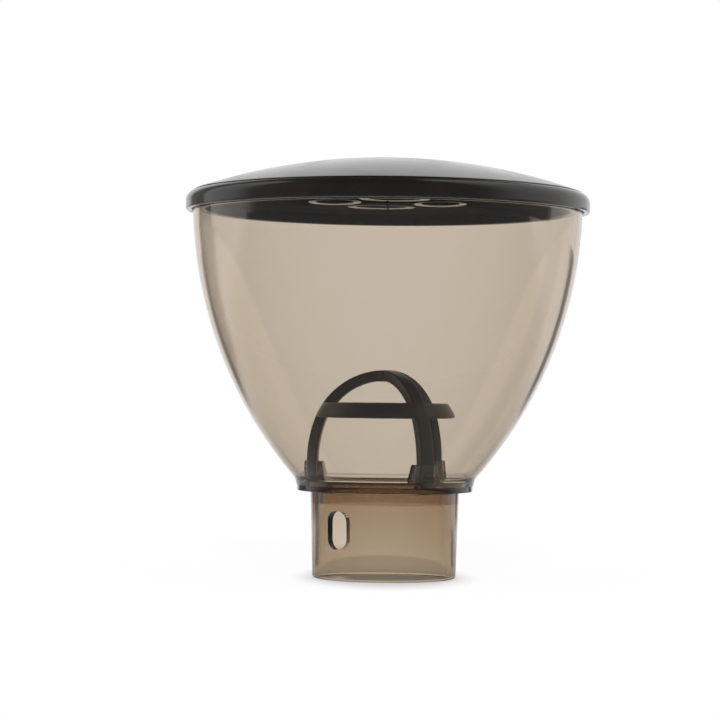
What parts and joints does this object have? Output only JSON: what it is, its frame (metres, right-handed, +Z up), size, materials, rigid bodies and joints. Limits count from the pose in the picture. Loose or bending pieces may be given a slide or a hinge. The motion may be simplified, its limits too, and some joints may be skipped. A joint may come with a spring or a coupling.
{
  "type": "coffee grinder bean hopper",
  "caption": "Smoked transparent bean hopper with a domed black lid, an arched finger guard over the outlet and a slotted neck that plugs into a coffee grinder.",
  "frame": {"origin": "centre of the neck's foot, on the level that the hopper stands on", "axes": "+Z up along the hopper's axis, from the neck to the lid; -Y is the front, with the neck's slot to the left of it"},
  "size_m": [0.1972, 0.1972, 0.204],
  "materials": {
    "lid_black": "satin",
    "liner_black": "fine spark-eroded ground with polished pads",
    "smoked_clear": "polished transparent",
    "smoked_brown": "polished transparent",
    "guard_black": "matt moulded"
  },
  "bodies": {
    "root": {"lid": "lid_black", "lid_liner": "liner_black", "bowl": "smoked_clear", "neck_base": "smoked_brown", "finger_guard": "guard_black"}
  },
  "joints": []
}
